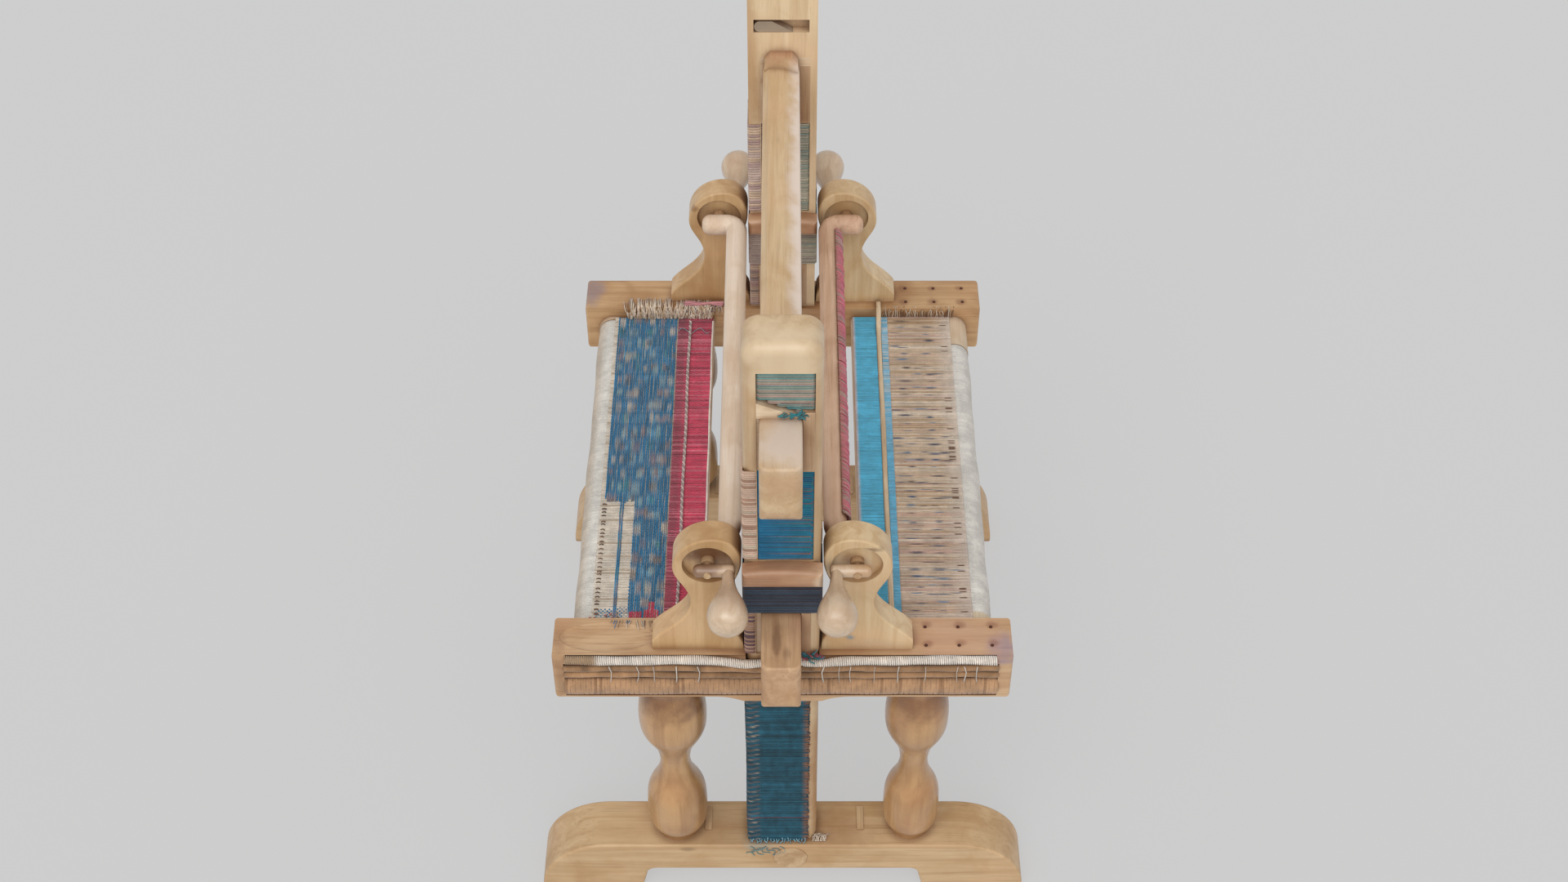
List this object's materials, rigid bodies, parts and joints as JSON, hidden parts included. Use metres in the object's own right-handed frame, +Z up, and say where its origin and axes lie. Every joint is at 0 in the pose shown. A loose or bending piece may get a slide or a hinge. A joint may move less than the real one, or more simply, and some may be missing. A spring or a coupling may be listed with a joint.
{
  "type": "tapestry frame loom",
  "caption": "Small standing tapestry loom: two post-and-trestle ends, through-tenoned beams, turned legs, scroll brackets with cranked bars, side rollers and stretched woven work.",
  "frame": {"origin": "on the floor, at the middle of the loom's footprint", "axes": "+Z up, +X to the loom's right, -Y towards its front trestle"},
  "size_m": [0.582, 0.78, 0.902],
  "materials": {
    "pale_wood": "waxed satin",
    "honey_wood": "waxed satin",
    "darker_wood": "waxed satin",
    "brown_wood": "handled satin",
    "cane": "split cane, matte",
    "nail_iron": "dull",
    "white_yarn": "wound yarn",
    "teal_yarn": "wound yarn",
    "grey_yarn": "wound yarn",
    "blue_yarn": "weft-faced weave",
    "red_yarn": "wound yarn",
    "cyan_yarn": "weft-faced weave",
    "beige_yarn": "open warp"
  },
  "bodies": {
    "frame": {"bracket_dowels": "darker_wood", "foot_keys": "darker_wood", "foot_plugs": "darker_wood", "front_collars": "pale_wood", "front_foot": "pale_wood", "front_left_baluster": "honey_wood", "front_left_bracket": "honey_wood", "front_lower_shim": "darker_wood", "front_post": "pale_wood", "front_post_sleeve": "teal_yarn", "front_post_windings": "teal_yarn", "front_rail": "pale_wood", "front_rail_canes": "cane", "front_rail_lacing": "white_yarn", "front_right_baluster": "honey_wood", "front_right_bracket": "honey_wood", "front_upper_wedge": "darker_wood", "lease_stick": "cane", "left_braid": "white_yarn", "left_inner_bar": "darker_wood", "left_red_band": "red_yarn", "left_tapestry": "blue_yarn", "lower_beam": "pale_wood", "rail_nails": "nail_iron", "rear_collars": "pale_wood", "rear_foot": "pale_wood", "rear_left_baluster": "honey_wood", "rear_left_bracket": "honey_wood", "rear_lower_shim": "darker_wood", "rear_post": "pale_wood", "rear_post_sleeve": "teal_yarn", "rear_post_windings": "grey_yarn", "rear_rail": "pale_wood", "rear_rail_canes": "cane", "rear_right_baluster": "honey_wood", "rear_right_bracket": "honey_wood", "rear_slot_peg": "pale_wood", "rear_upper_wedge": "darker_wood", "right_blue_bands": "cyan_yarn", "right_inner_bar": "darker_wood", "right_warp": "beige_yarn", "upper_beam": "pale_wood"},
    "left_crank": {"left_tension_bar": "pale_wood", "left_crank_pins": "darker_wood", "front_left_handle": "pale_wood", "rear_left_handle": "pale_wood"},
    "right_crank": {"right_tension_bar": "brown_wood", "right_crank_pins": "darker_wood", "front_right_handle": "pale_wood", "rear_right_handle": "pale_wood", "right_bar_yarn": "red_yarn"},
    "left_roller_body": {"left_roller": "pale_wood", "left_roller_yarn": "white_yarn"},
    "right_roller_body": {"right_roller": "pale_wood", "right_roller_yarn": "white_yarn"},
    "front_upper_key_body": {"front_upper_key": "darker_wood"},
    "front_lower_key_body": {"front_lower_key": "darker_wood"},
    "rear_upper_key_body": {"rear_upper_key": "darker_wood"},
    "rear_lower_key_body": {"rear_lower_key": "darker_wood"}
  },
  "joints": [
    {"name": "left_crank_turn", "type": "hinge", "parent": "frame", "child": "left_crank", "pos_m": [-0.078, 0, 0.568], "axis": [0, 1, 0], "continuous": true},
    {"name": "right_crank_turn", "type": "hinge", "parent": "frame", "child": "right_crank", "pos_m": [0.078, 0, 0.568], "axis": [0, 1, 0], "continuous": true},
    {"name": "left_roller_turn", "type": "hinge", "parent": "frame", "child": "left_roller_body", "pos_m": [-0.214, 0, 0.4], "axis": [0, 1, 0], "continuous": true},
    {"name": "right_roller_turn", "type": "hinge", "parent": "frame", "child": "right_roller_body", "pos_m": [0.214, 0, 0.4], "axis": [0, 1, 0], "continuous": true},
    {"name": "front_upper_key_pull", "type": "slide", "parent": "frame", "child": "front_upper_key_body", "axis": [0, -1, 0], "range_m": [0, 0.06]},
    {"name": "front_lower_key_pull", "type": "slide", "parent": "frame", "child": "front_lower_key_body", "axis": [0, -1, 0], "range_m": [0, 0.06]},
    {"name": "rear_upper_key_pull", "type": "slide", "parent": "frame", "child": "rear_upper_key_body", "axis": [0, 1, 0], "range_m": [0, 0.06]},
    {"name": "rear_lower_key_pull", "type": "slide", "parent": "frame", "child": "rear_lower_key_body", "axis": [0, 1, 0], "range_m": [0, 0.06]}
  ]
}
